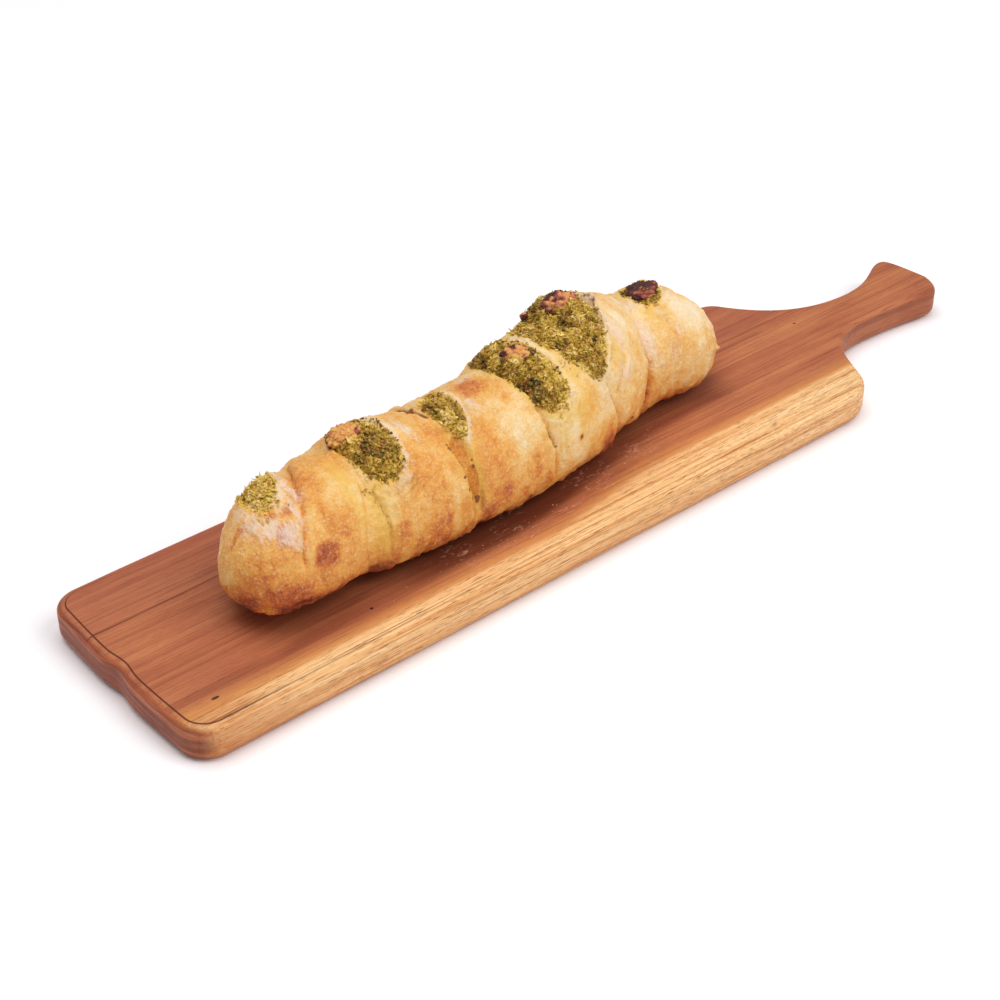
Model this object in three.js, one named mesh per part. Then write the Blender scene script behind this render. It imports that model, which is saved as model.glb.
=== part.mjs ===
// A herb-filled loaf lying on a long wooden paddle board. Millimetres, +Z up.
// +X runs along the board towards its handle, and -Y is the side that the loaf's openings face.
// The origin is the middle of the board's box, on the surface that the board stands on.
import * as THREE from "three";
import { mergeVertices } from "three/addons/utils/BufferGeometryUtils.js";

// Driving dimensions of the board.
const BOARD_WIDTH = 125;
const BOARD_THICKNESS = 18;
const BOARD_LENGTH = 556; // from the square end to the handle's tip
const BODY_LENGTH = 439; // from the square end to the shoulders
const TOP_ROUND = 3.5; // radius of the top edge
const BOTTOM_ROUND = 5.5; // radius of the bottom edge
const ROUND_STEPS = 4; // rings on each rounded edge
const SQUARE_END = { corner: 15, dip: 1.7, dipReach: 8, bow: 2.3, skew: 0.034 };
const SQUARE_END_STEPS = 10;
const CORNER_STEPS = 7;
const CURVE_STEPS = 9; // points on each curve of the handle
const SAME_POINT = 0.05; // points closer than this are one
const HANDLE_TIP_ROUND = 11;
const HANDLE_TIP_SKEW = 3.7; // how far the tip's far corner stands out past its middle
const HANDLE_TIP_CROWN = 1.3; // how far the tip's end bulges
// How far the handle's curves run straight on: out of the waist, into the tip, and round its corner.
const HANDLE_EASE = { waist: 0.47, tip: 0.15, corner: 0.65 };
// The handle is sawn by hand, so its two sides differ. Half widths are from the board's middle line.
const NEAR_SIDE = {
  shoulder: 28,
  turn: 1.06,
  waistX: 487,
  waist: 10,
  tip: 14.5,
  leave: 0.43,
  arrive: 0.66,
};
const FAR_SIDE = {
  shoulder: 14,
  turn: 1.04,
  waistX: 502,
  waist: 18,
  tip: 31.5,
  leave: 0.29,
  arrive: 0.6,
};

// Driving dimensions of the loaf, along the board from its square end.
const LOAF_START = 53;
const LOAF_END = 374;
const START_CAP = 42; // how much of the loaf's length each rounded end takes
const END_CAP = 32;
const LOAF_GAP = 0.3; // clearance to the board
const LOAF_HALF_WIDTHS = [30, 32, 35, 35, 37, 38, 33, 31]; // evenly spaced from start to end
const LOAF_HEIGHTS = [56, 55, 56, 55, 60, 64, 56, 51];
const LOAF_MIDDLE = [-11, -2, 0, 2, 11, 22, 15]; // the bend of its middle line across the board
const WIDEST_AT = 0.42; // share of the height where a section is widest
const UPPER_FULLNESS = 2.15; // superellipse powers: 2 is an ellipse, more is squarer
const LOWER_FULLNESS = 2.8;
const END_LIFT_POWER = 0.7; // under 1, the underside stays down longer than the ends narrow
const LOAF_STATIONS = 72;
const LOAF_SIDES = 40;

// Where the rolled dough folds over itself. Angles go round a section in degrees: 0 is the near side,
// 90 the top and 180 the far side. drift is how far the fold moves along the loaf from 0 to 90 degrees.
const CREASES = [
  { x: 84, drift: 13, depth: 3.2 },
  { x: 119, drift: 1, depth: 3.4 },
  { x: 171, drift: -2, depth: 3.2 },
  { x: 222, drift: -4, depth: 3.4 },
  { x: 273, drift: -6, depth: 3.8 },
  { x: 309, drift: 16, depth: 3.4 },
];
const CREASE_REACH = 7; // half width of a fold's valley

// The openings in the top, where the filling stands up out of the crust. reach is half the opening's
// size along the loaf in millimetres, and span half its size round the section in degrees.
const OPENINGS = [
  { x: 87, angle: 108, reach: 9, span: 28, rise: 1.5 },
  { x: 134, angle: 90, reach: 15, span: 40, rise: 3.5 },
  { x: 178, angle: 82, reach: 8, span: 28, rise: 1.5 },
  { x: 230, angle: 80, reach: 15, span: 42, rise: 3.5 },
  { x: 262, angle: 98, reach: 12, span: 32, rise: 2.5 },
  { x: 285, angle: 92, reach: 16, span: 48, rise: 4 },
  { x: 340, angle: 95, reach: 10, span: 20, rise: 2 },
];

// A smooth curve through evenly spaced values, read at a share of the way along it.
function profile(values) {
  const curve = new THREE.SplineCurve(
    values.map((value, i) => new THREE.Vector2(i, value)),
  );
  return (share) => curve.getPoint(share).y;
}

const bell = (distance, reach) => Math.exp(-((distance / reach) ** 2));

// A closed surface from rings of equally many points, closed by the corners of its two caps' faces.
function geometryFromRings(rings, firstCap, lastCap) {
  const count = rings[0].length;
  const corners = [];
  for (let ring = 0; ring + 1 < rings.length; ring += 1) {
    for (let i = 0; i < count; i += 1) {
      const next = (i + 1) % count;
      const [a, b] = [rings[ring][i], rings[ring][next]];
      const [c, d] = [rings[ring + 1][i], rings[ring + 1][next]];
      corners.push(a, b, d, a, d, c);
    }
  }
  corners.push(...firstCap, ...lastCap);
  const geometry = new THREE.BufferGeometry().setFromPoints(corners);
  const merged = mergeVertices(geometry);
  merged.computeVertexNormals();
  return merged;
}

// ---- The board -------------------------------------------------------------------------------

// The plan of one side from the shoulder to the middle of the handle's tip, side -1 near and 1 far.
function addHandleSide(path, side, dims) {
  const half = BOARD_WIDTH / 2;
  const { shoulder, turn, waistX, waist, tip, leave, arrive } = dims;
  const centre = new THREE.Vector2(BODY_LENGTH - shoulder, side * (half - shoulder));
  const from = side * (Math.PI / 2);
  path.absarc(centre.x, centre.y, shoulder, from, from - side * turn, side > 0);
  const start = path.currentPoint.clone();
  const span = waistX - start.x;
  const tipX = BOARD_LENGTH + side * HANDLE_TIP_SKEW - HANDLE_TIP_ROUND;
  path.bezierCurveTo(
    start.x + Math.cos(turn) * span * leave,
    start.y - side * Math.sin(turn) * span * leave,
    waistX - span * arrive,
    side * waist,
    waistX,
    side * waist,
  );
  path.bezierCurveTo(
    waistX + (BOARD_LENGTH - waistX) * HANDLE_EASE.waist,
    side * waist,
    tipX - (BOARD_LENGTH - waistX) * HANDLE_EASE.tip,
    side * tip,
    tipX,
    side * tip,
  );
  path.bezierCurveTo(
    tipX + HANDLE_TIP_ROUND * HANDLE_EASE.corner,
    side * tip,
    BOARD_LENGTH + (side * HANDLE_TIP_SKEW) / 2 - HANDLE_TIP_CROWN,
    side * (tip - HANDLE_TIP_ROUND / 2),
    BOARD_LENGTH,
    0,
  );
}

// The plan of one side of the square end and its corner, from the board's middle line outwards.
function squareEndSide(side) {
  const { corner, dip, dipReach, bow, skew } = SQUARE_END;
  const half = BOARD_WIDTH / 2;
  const straight = half - corner;
  const inset = (y) => dip * bell(y, dipReach) + bow * (y / half) ** 2 + side * skew * y;
  const points = [];
  for (let i = 0; i < SQUARE_END_STEPS; i += 1) {
    const y = (straight * i) / SQUARE_END_STEPS;
    points.push(new THREE.Vector2(inset(y), side * y));
  }
  for (let i = 0; i <= CORNER_STEPS; i += 1) {
    const angle = ((Math.PI / 2) * i) / CORNER_STEPS;
    const x = inset(straight) + corner * (1 - Math.cos(angle));
    points.push(new THREE.Vector2(x, side * (straight + corner * Math.sin(angle))));
  }
  return points;
}

// The whole plan, counterclockwise from the middle of the square end. Both sides have equally many
// points, so point i of the near side faces point (count - i) of the loop.
function boardOutline() {
  const [near, far] = [
    [-1, NEAR_SIDE],
    [1, FAR_SIDE],
  ].map(([side, dims]) => {
    const path = new THREE.Path(squareEndSide(side));
    addHandleSide(path, side, dims);
    const points = path.getPoints(CURVE_STEPS);
    return points.filter((p, i) => i === 0 || p.distanceTo(points[i - 1]) > SAME_POINT);
  });
  return [...near, ...far.reverse().slice(1, -1)];
}

// The outline moved inwards, and lifted to a height.
function insetRing(outline, inset, height) {
  const count = outline.length;
  return outline.map((point, i) => {
    const along = outline[(i + 1) % count].clone().sub(outline[(i + count - 1) % count]);
    const inward = new THREE.Vector2(-along.y, along.x).normalize();
    return new THREE.Vector3(point.x + inward.x * inset, point.y + inward.y * inset, height);
  });
}

// A flat face across a ring, as rungs from each point of the near side to the one that it faces.
function ladder(ring, flip) {
  const count = ring.length;
  const corners = [];
  for (let i = 0; i < count / 2; i += 1) {
    const [a, b] = [ring[i], ring[i + 1]];
    const [c, d] = [ring[(count - i - 1) % count], ring[(count - i) % count]];
    if (b !== c) corners.push(a, ...(flip ? [c, b] : [b, c]));
    if (a !== d) corners.push(a, ...(flip ? [d, c] : [c, d]));
  }
  return corners;
}

function boardGeometry() {
  const outline = boardOutline();
  const rings = [];
  for (let i = 0; i <= ROUND_STEPS; i += 1) {
    const angle = ((Math.PI / 2) * i) / ROUND_STEPS;
    const inset = BOTTOM_ROUND * (1 - Math.sin(angle));
    rings.push(insetRing(outline, inset, BOTTOM_ROUND * (1 - Math.cos(angle))));
  }
  for (let i = 0; i <= ROUND_STEPS; i += 1) {
    const angle = ((Math.PI / 2) * i) / ROUND_STEPS;
    const height = BOARD_THICKNESS - TOP_ROUND * (1 - Math.sin(angle));
    rings.push(insetRing(outline, TOP_ROUND * (1 - Math.cos(angle)), height));
  }
  const [bottom, top] = [rings[0], rings[rings.length - 1]];
  return geometryFromRings(rings, ladder(bottom, true), ladder(top, false));
}

// ---- The loaf --------------------------------------------------------------------------------

const halfWidthAt = profile(LOAF_HALF_WIDTHS);
const heightAt = profile(LOAF_HEIGHTS);
const middleAt = profile(LOAF_MIDDLE);

// How full the loaf is at x: 1 along its length, falling to 0 at its two rounded ends.
function fullnessAt(x) {
  const start = THREE.MathUtils.clamp((x - LOAF_START) / START_CAP, 0, 1);
  const end = THREE.MathUtils.clamp((LOAF_END - x) / END_CAP, 0, 1);
  return Math.sqrt(1 - (1 - start) ** 2) * Math.sqrt(1 - (1 - end) ** 2);
}

// How far the surface stands out from the plain section, at x and an angle in degrees. The folds fade
// out towards the loaf's underside on both sides.
function swellAt(x, angle) {
  const { smoothstep } = THREE.MathUtils;
  const upper = smoothstep(angle, -40, 10) * (1 - smoothstep(angle, 170, 220));
  let swell = 0;
  for (const { x: at, drift, depth } of CREASES) {
    swell -= depth * upper * bell(x - at - (drift * angle) / 90, CREASE_REACH);
  }
  for (const opening of OPENINGS) {
    const around = bell(angle - opening.angle, opening.span);
    swell += opening.rise * around * bell(x - opening.x, opening.reach);
  }
  return swell;
}

// The section at x: a superellipse, squarer below than above, flat where it lies on the board.
function loafRing(x) {
  const share = (x - LOAF_START) / (LOAF_END - LOAF_START);
  const full = fullnessAt(x);
  const height = heightAt(share);
  const waist = WIDEST_AT * height;
  const top = waist + (height - waist) * full;
  const bottom = waist - waist * full ** END_LIFT_POWER;
  const level = bottom + (top - bottom) * WIDEST_AT;
  const halfWidth = halfWidthAt(share) * full;
  const floor = BOARD_THICKNESS + LOAF_GAP;
  const points = [];
  for (let i = 0; i < LOAF_SIDES; i += 1) {
    const turn = (2 * Math.PI * i) / LOAF_SIDES;
    const [across, up] = [-Math.cos(turn), Math.sin(turn)];
    const power = 2 / (up >= 0 ? UPPER_FULLNESS : LOWER_FULLNESS);
    const reach = up >= 0 ? top - level : level - bottom;
    const degrees = THREE.MathUtils.radToDeg(turn);
    const swell = swellAt(x, degrees > 270 ? degrees - 360 : degrees) * full;
    const y = Math.sign(across) * Math.abs(across) ** power * halfWidth + across * swell;
    const z = level + Math.sign(up) * Math.abs(up) ** power * reach + up * swell;
    points.push(new THREE.Vector3(x, middleAt(share) + y, floor + Math.max(z, 0)));
  }
  return points;
}

function loafGeometry() {
  const rings = [];
  for (let i = 1; i < LOAF_STATIONS; i += 1) {
    const share = (1 + Math.cos((Math.PI * i) / LOAF_STATIONS)) / 2;
    rings.push(loafRing(LOAF_START + (LOAF_END - LOAF_START) * share));
  }
  const pole = (x, share) =>
    new THREE.Vector3(
      x,
      middleAt(share),
      BOARD_THICKNESS + LOAF_GAP + WIDEST_AT * heightAt(share),
    );
  const fan = (ring, tip, flip) =>
    ring.flatMap((point, i) => {
      const next = ring[(i + 1) % ring.length];
      return flip ? [tip, next, point] : [tip, point, next];
    });
  const first = fan(rings[0], pole(LOAF_END, 1), true);
  const last = fan(rings[rings.length - 1], pole(LOAF_START, 0), false);
  return geometryFromRings(rings, first, last);
}

// ---- The part --------------------------------------------------------------------------------

const wood = new THREE.MeshStandardMaterial({ color: 0xb06f4c, roughness: 0.5, metalness: 0 });
const crust = new THREE.MeshStandardMaterial({ color: 0xe2b072, roughness: 0.6, metalness: 0 });

const board = new THREE.Mesh(boardGeometry(), wood);
board.name = "serving_board";
const loaf = new THREE.Mesh(loafGeometry(), crust);
loaf.name = "loaf";

const group = new THREE.Group();
group.add(board, loaf);
const box = new THREE.Box3().setFromObject(board);
group.position.set(-(box.min.x + box.max.x) / 2, -(box.min.y + box.max.y) / 2, 0);

export default group;
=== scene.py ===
import math
from collections import namedtuple
from functools import reduce

import bpy
import numpy as np
from mathutils import Euler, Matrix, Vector


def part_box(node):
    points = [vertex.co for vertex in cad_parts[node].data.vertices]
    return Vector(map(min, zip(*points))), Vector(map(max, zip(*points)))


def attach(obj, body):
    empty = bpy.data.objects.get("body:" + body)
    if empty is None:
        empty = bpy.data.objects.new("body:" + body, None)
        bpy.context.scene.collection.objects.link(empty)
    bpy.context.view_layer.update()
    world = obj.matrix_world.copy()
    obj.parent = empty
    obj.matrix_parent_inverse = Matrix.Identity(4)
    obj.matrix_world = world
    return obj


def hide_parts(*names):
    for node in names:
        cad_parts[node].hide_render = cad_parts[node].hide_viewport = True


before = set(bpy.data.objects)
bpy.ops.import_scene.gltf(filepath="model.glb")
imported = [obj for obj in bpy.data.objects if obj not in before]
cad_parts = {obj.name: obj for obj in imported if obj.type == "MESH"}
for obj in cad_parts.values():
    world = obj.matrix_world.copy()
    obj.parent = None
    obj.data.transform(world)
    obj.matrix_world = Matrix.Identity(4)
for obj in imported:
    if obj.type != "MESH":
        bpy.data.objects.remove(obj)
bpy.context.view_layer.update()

MM = 0.001
rng = np.random.default_rng(271)

BOARD_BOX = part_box("serving_board")
LOAF_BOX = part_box("loaf")

# ---- The loaf's driving dimensions, the same as in the CAD model -------------------------------

BOARD_THICKNESS = 18.0
LOAF_START, LOAF_END = 53.0, 374.0
START_CAP, END_CAP = 42.0, 32.0
LOAF_GAP = 0.3
LOAF_HALF_WIDTHS = [30, 32, 35, 35, 37, 38, 33, 31]
LOAF_HEIGHTS = [56, 55, 56, 55, 60, 64, 56, 51]
LOAF_MIDDLE = [-11, -2, 0, 2, 11, 22, 15]
WIDEST_AT = 0.42
UPPER_FULLNESS, LOWER_FULLNESS = 2.15, 2.8
END_LIFT_POWER = 0.7
CREASES = [(84, 13, 2.4), (119, 1, 1.6), (171, -2, 1.6), (222, -4, 1.8), (273, -6, 2.4), (309, 16, 2.6)]
CREASE_REACH = 7.0
SWELLS = [
    (87, 108, 9, 28, 1.5),
    (134, 90, 15, 40, 3.0),
    (178, 82, 8, 28, 1.5),
    (230, 80, 15, 42, 3.0),
    (262, 98, 12, 32, 2.0),
    (285, 92, 16, 48, 3.0),
    (340, 95, 10, 20, 1.5),
]
FLOOR = BOARD_THICKNESS + LOAF_GAP
ORIGIN = np.array([LOAF_BOX[0].x / MM - LOAF_START, (BOARD_BOX[0].y + BOARD_BOX[1].y) / 2 / MM, 0.0])
AROUND = 0.6  # millimetres round the loaf for each degree, about


def to_row(points):
    """Board millimetres to metres in the row frame."""
    return (points + ORIGIN) * MM


def smoothstep(low, high, value):
    t = np.clip((value - low) / (high - low), 0.0, 1.0)
    return t * t * (3.0 - 2.0 * t)


def bell(distance, reach):
    return np.exp(-((distance / reach) ** 2))


def profile(values):
    """A smooth curve through evenly spaced values, read at a share of the way along it."""
    values = np.asarray(values, float)
    last = len(values) - 1

    def read(share):
        place = np.clip(share, 0, 1) * last
        i = np.minimum(np.floor(place).astype(int), last - 1)
        w = place - i
        p0, p1 = values[np.maximum(i - 1, 0)], values[i]
        p2, p3 = values[i + 1], values[np.minimum(i + 2, last)]
        v0, v1 = (p2 - p0) / 2, (p3 - p1) / 2
        cubic = (2 * p1 - 2 * p2 + v0 + v1) * w**3
        return cubic + (-3 * p1 + 3 * p2 - 2 * v0 - v1) * w**2 + v0 * w + p1

    return read


def scramble(cell, seed):
    """A repeatable random number from 0 to 1 for each cell of a whole-number grid."""
    h = cell[..., 0] * 374761393 + cell[..., 1] * 668265263
    h = h + cell[..., 2] * 1442695041 + seed * 1274126177
    h = (h ^ (h >> 13)) * 1274126177
    return ((h ^ (h >> 16)) & 0xFFFF) / 65535


def noise(points, size, seed):
    """Smooth noise from -1 to 1, with features about as large as size."""
    q = points / size
    cell = np.floor(q).astype(np.int64)
    f = q - cell
    f = f * f * f * (f * (f * 6 - 15) + 10)
    total = np.zeros(points.shape[:-1])
    for step in np.ndindex(2, 2, 2):
        weight = np.prod(np.where(step, f, 1 - f), axis=-1)
        total += weight * (2 * scramble(cell + np.array(step), seed) - 1)
    return total


def clumps(points, size, seed):
    """Round clumps packed side by side: 1 on their tops and 0 in the gaps between them, with a random
    number from 0 to 1 for each clump."""
    q = points / size
    cell = np.floor(q).astype(np.int64)
    nearest = np.full(points.shape[:-1], 9.0)
    second = nearest.copy()
    which = np.zeros_like(nearest)
    for step in np.ndindex(3, 3, 3):
        near = cell + np.array(step) - 1
        middle = near + np.stack([scramble(near, seed + axis) for axis in (1, 2, 3)], -1)
        far = np.linalg.norm(q - middle, axis=-1)
        closer = far < nearest
        second = np.where(closer, nearest, np.minimum(second, far))
        which = np.where(closer, scramble(near, seed + 4), which)
        nearest = np.minimum(nearest, far)
    return np.sqrt(np.clip(1.7 * (second - nearest), 0, 1)), which


def fractal(points, size, seed, octaves=3):
    total, height = 0.0, 1.0
    for octave in range(octaves):
        total = total + height * noise(points, size / 2**octave, seed + 31 * octave)
        height /= 2
    return total / (2 - 2 * height)


half_width_at = profile(LOAF_HALF_WIDTHS)
height_at = profile(LOAF_HEIGHTS)
middle_at = profile(LOAF_MIDDLE)


def fullness_at(x):
    start = np.clip((x - LOAF_START) / START_CAP, 0, 1)
    end = np.clip((LOAF_END - x) / END_CAP, 0, 1)
    return np.sqrt(1 - (1 - start) ** 2) * np.sqrt(1 - (1 - end) ** 2)


def loaf_point(x, angle):
    """A point of the loaf's smooth body, in board millimetres."""
    share = (x - LOAF_START) / (LOAF_END - LOAF_START)
    full = fullness_at(x)
    height = height_at(share)
    waist = WIDEST_AT * height
    top = waist + (height - waist) * full
    bottom = waist - waist * full**END_LIFT_POWER
    level = bottom + (top - bottom) * WIDEST_AT
    turn = np.radians(angle)
    across, up = -np.cos(turn), np.sin(turn)
    upper = smoothstep(-40, 10, angle) * (1 - smoothstep(170, 220, angle))
    swell = 0.0
    for at, drift, depth in CREASES:
        swell = swell - depth * upper * bell(x - at - drift * angle / 90, CREASE_REACH)
    for at, middle, reach, span, rise in SWELLS:
        swell = swell + rise * bell(angle - middle, span) * bell(x - at, reach)
    swell = swell * full
    power = 2 / np.where(up >= 0, UPPER_FULLNESS, LOWER_FULLNESS)
    reach = np.where(up >= 0, top - level, level - bottom)
    y = np.sign(across) * np.abs(across) ** power * half_width_at(share) * full + across * swell
    z = level + np.sign(up) * np.abs(up) ** power * reach + up * swell
    return np.stack([x, middle_at(share) + y, FLOOR + np.maximum(z, 0)], axis=-1)


def unit(vectors):
    return vectors / np.maximum(np.linalg.norm(vectors, axis=-1, keepdims=True), 1e-9)


def loaf_surface(x, angle):
    """Points of the loaf's smooth body, and the directions that point out of it."""
    step_x, step_a = 0.4, 0.5
    inner = np.clip(x, LOAF_START + 1.0, LOAF_END - 1.0)
    along = loaf_point(inner + step_x, angle) - loaf_point(inner - step_x, angle)
    around = loaf_point(inner, angle + step_a) - loaf_point(inner, angle - step_a)
    return loaf_point(x, angle), unit(np.cross(along, around))


# ---- What shows on the crust --------------------------------------------------------------------

# Each opening in the crust: where its middle is, half its size along the loaf in millimetres and round
# it in degrees, how far it leans along the loaf for each degree, how much wider it is at its far end
# than at its near one, how squarely it is cut, its lip's height, how high its filling stands, how much
# lighter that filling is, and how floury and how burnt its rim is.
Opening = namedtuple("Opening", "x angle reach span lean taper power lip crown light floury burnt")
OPENINGS = [
    Opening(83, 118, 10, 32, 0.14, 0.1, 2.2, 0.3, -0.7, 0.28, 0.84, 0),
    Opening(135.2, 85, 12.7, 37, 0.06, 0.12, 2.2, 1.7, 2.8, 0, 0.84, 0),
    Opening(181, 83, 7.5, 27, 0.1, 0.3, 2.0, 1.3, 0.9, 0.04, 0.8, 0),
    Opening(230.5, 83, 11.5, 46, -0.05, 0.0, 2.6, 1.4, 4.0, 0, 0.2, 0),
    Opening(269, 88, 20.5, 52, 0.09, 0.45, 2.1, 1.8, 5.2, 0.02, 0.3, 0.75),
    Opening(335, 91, 9, 20, 0.12, 0.1, 2.2, 0.5, 1.2, -0.02, 0.4, 0),
]
# Tongues of dough that lie over an opening's edge: place, angle, reaches along and round, rise.
TONGUES = [
    (257, 70, 4.5, 5.5, 1.6),
]
BASIN = 3.2  # depth of the crust under the filling

# Each fold: its line, as the angle and the place along the loaf from the near side over the top, its
# depth, how far its valley reaches to the left and the right, and the angles that it runs between. The
# side where the valley is narrow is the roll that lies on top.
Fold = namedtuple("Fold", "line depth left right low high")
FOLDS = [
    Fold(
        ((-40, 75), (10, 79), (32, 82), (47, 87), (64, 91),
         (81, 94), (101, 100), (135, 107), (190, 112)),
        3.2, 8.0, 1.3, 18, 118,
    ),
    Fold(((-40, 110), (1, 112), (26, 114), (39, 117), (60, 119), (80, 121)), 2.8, 1.8, 8.0, -20, 66),
    Fold(((-20, 125), (7, 124), (21, 125), (28, 124), (38, 122)), 0.4, 0.7, 1.2, -8, 38),
    Fold(((-30, 174), (0, 173), (24, 171), (40, 170), (54, 169), (70, 172)), 3.2, 0.9, 3.6, -12, 66),
    Fold(((-30, 179), (0, 178), (25, 177), (39, 177), (56, 176), (66, 178)), 1.8, 2.6, 2.4, -8, 60),
    Fold(((80, 173), (92, 173.5), (113, 174), (136, 177), (190, 180)), 2.6, 0.8, 3.0, 90, 170),
    Fold(((-40, 227), (8, 226), (20, 223.5), (33, 223), (50, 220)), 2.4, 1.6, 5.0, -20, 50),
    Fold(((-40, 276), (-11, 276), (0, 275), (12, 272), (34, 265), (45, 262)), 3.6, 2.2, 3.2, -45, 42),
    Fold(
        ((15, 275), (23, 279), (29, 285), (38, 289), (50, 290), (64, 289.5), (90, 289), (140, 291)),
        1.9, 3.0, 1.6, 15, 150,
    ),
    Fold(
        ((-40, 306), (-2, 311), (13, 313), (34, 313), (51, 316),
         (73, 320), (90, 324), (120, 326), (190, 318)),
        4.0, 4.5, 2.6, -35, 185,
    ),
    Fold(((80, 236), (128, 247), (180, 243)), 1.6, 2.5, 2.0, 120, 185),
]
# Thin creases, flaps and cracks: line, depth, width, and how strongly each is scorched.
CRACKS = [
    (((86, 172.4), (92, 170.8), (99, 170.2), (108, 170), (125, 171.5)), 2.4, 0.9, 2.0),
    (((60, 281), (66, 282.5), (73, 284.5), (82, 286), (92, 289), (102, 290.5)), 0.8, 0.9, 0.5),
    (((7, 226.5), (12, 224), (27, 223), (33, 223), (48, 221)), 2.0, 0.9, 0.35),
    (((-11, 231), (0, 233), (7, 233), (17, 230)), 0.7, 0.8, 0.0),
    (((2, 125.5), (21, 124.6), (28, 124), (35, 122.5)), 0.9, 0.6, 0.2),
    (((62, 199), (75, 200), (88, 198), (98, 194)), 0.7, 1.0, 0.0),
]
# Browned patches: place, angle, radius in millimetres, strength (below 0 is paler), and how soft.
SPOTS = [
    (90.5, 17.5, 6.4, 0.3, 0.35), (56, 2, 13, 0.16, 1.0), (68, -14, 13, 0.2, 1.0),
    (85, -26, 9, 0.16, 1.0), (131, 7, 4.6, 0.2, 0.8), (157, 1, 2.6, 0.22, 0.8),
    (193, -2, 6.5, 0.16, 1.0), (199, 30, 5, 0.12, 1.0), (166, 70, 6.5, 0.2, 1.0),
    (203, 98, 7.5, 0.3, 0.8), (101, 80, 6, 0.1, 1.0), (89, 56, 8, -0.1, 1.0),
    (243, 4, 1.8, 0.35, 0.5), (266, -8, 7, 0.26, 1.0), (271, -30, 9, 0.2, 1.0),
    (254, 24, 7, 0.14, 1.0), (61, 97, 3.4, 0.3, 0.7), (76, 55, 4.2, 0.34, 0.8),
    (73, 47, 3.0, 0.26, 0.8), (82, 70, 4.0, 0.34, 0.8), (75, 77, 3.2, 0.28, 0.8),
    (145, 38, 8, 0.1, 1.0), (214, 10, 7, 0.1, 1.0), (352, -20, 14, -0.1, 1.0),
    (199, 68, 9, -0.14, 1.0), (206, 42, 12, -0.2, 1.0), (154, 84, 6, -0.16, 1.0),
    (212, 62, 8, -0.1, 1.0), (294, 70, 12, -0.22, 1.0), (298, 30, 10, -0.12, 1.0),
    (320, 80, 10, -0.12, 1.0), (348, 60, 14, -0.18, 1.0), (248, 22, 9, 0.08, 1.0),
    (128, 28, 7, -0.1, 1.0), (60, 36, 17, 0.13, 1.0), (105, 36, 8, 0.13, 1.0),
    (250, 21, 8, 0.1, 1.0), (64, 6, 16, 0.1, 1.0),
]
# Oily yellow-green stains: place, angle, reach along the loaf, reach round it in millimetres, strength.
STAINS = [
    (123, 38, 5.5, 14, 0.95), (122, 12, 6, 15, 0.75), (113, 62, 5, 15, 0.7),
    (114, 32, 4, 15, 0.6), (173.6, 46, 5.2, 13, 1.5), (175.2, 18, 4.4, 15, 1.45),
    (234, 30, 10, 9, 0.9), (231, 8, 5, 10, 0.35), (249, 58, 8, 14, 0.75),
    (291, 74, 3.5, 14, 0.75), (247, 26, 9, 12, 0.55), (329, 64, 7, 8, 0.8),
    (332, 67, 5, 4, 1.05), (283, 45, 5, 12, 0.6), (192, 70, 5, 8, 0.3),
    (255, 2, 6, 10, 0.2),
]
# Floury, wrinkled pale patches, in the same form.
FLOURS = [
    (68, 108, 5, 12, 0.7), (67, 86, 6, 12, 0.85), (71, 66, 8, 10, 0.9),
    (77, 51, 7, 10, 1.0), (86, 64, 4, 13, 0.95), (92, 88, 4, 13, 1.0),
    (96, 108, 3, 10, 0.8), (80, 38, 5, 7, 0.8), (80, 76, 5, 6, 0.6),
    (157, 86, 3, 14, 0.85), (146, 55, 5, 5, 0.5), (194, 80, 6, 12, 0.7),
    (201, 60, 5, 9, 0.35), (207, 108, 6, 8, 0.6), (289, 60, 5, 16, 0.9),
    (292, 92, 4, 12, 0.8), (306, 84, 9, 10, 0.4), (346, 52, 12, 12, 0.4),
    (284, 28, 7, 6, 0.75), (315, 48, 5, 24, 0.95), (322, 84, 6, 9, 0.8),
    (303, 70, 5, 14, 0.35), (319, 14, 8, 6, 0.55), (336, 38, 5, 8, 0.6),
    (347, 78, 5, 9, 0.6), (329, 20, 5, 10, 0.6), (331, 58, 5, 9, 0.6),
    (262, 18, 6, 7, 0.4), (298, 110, 8, 9, 0.45), (240, 60, 3, 8, 0.25),
]
# Scorched spots: place, angle, radius, strength.
SCORCHES = [
    (168, 56, 1.2, 0.9), (168.2, 52, 1.5, 1.0), (168.4, 47, 1.1, 0.7), (169.6, 25, 1.4, 1.0),
    (170.6, 13, 1.2, 0.9), (175.6, 1, 1.6, 0.9), (176.6, 30, 1.7, 0.8), (177.2, 36, 1.2, 0.6),
    (168.9, 38, 1.0, 0.8), (171.6, 5, 1.2, 0.7), (157, 1, 1.0, 0.6), (243, 4, 1.3, 0.9),
    (233, 4, 0.9, 0.5), (226.5, 7, 1.1, 0.7), (223.4, 26, 0.9, 0.6), (125, 22, 0.8, 0.5),
    (171.3, 103, 1.2, 1.0), (122.5, 33, 0.8, 0.4), (289.5, 94, 1.2, 0.6), (287.5, 86, 1.2, 0.7),
    (286, 80, 1.0, 0.6), (284.5, 72, 1.2, 0.7), (281.8, 64, 1.0, 0.5), (290, -17, 1.6, 0.9),
    (276, -16, 2.2, 0.55), (236, 22, 0.8, 0.4),
]
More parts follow.
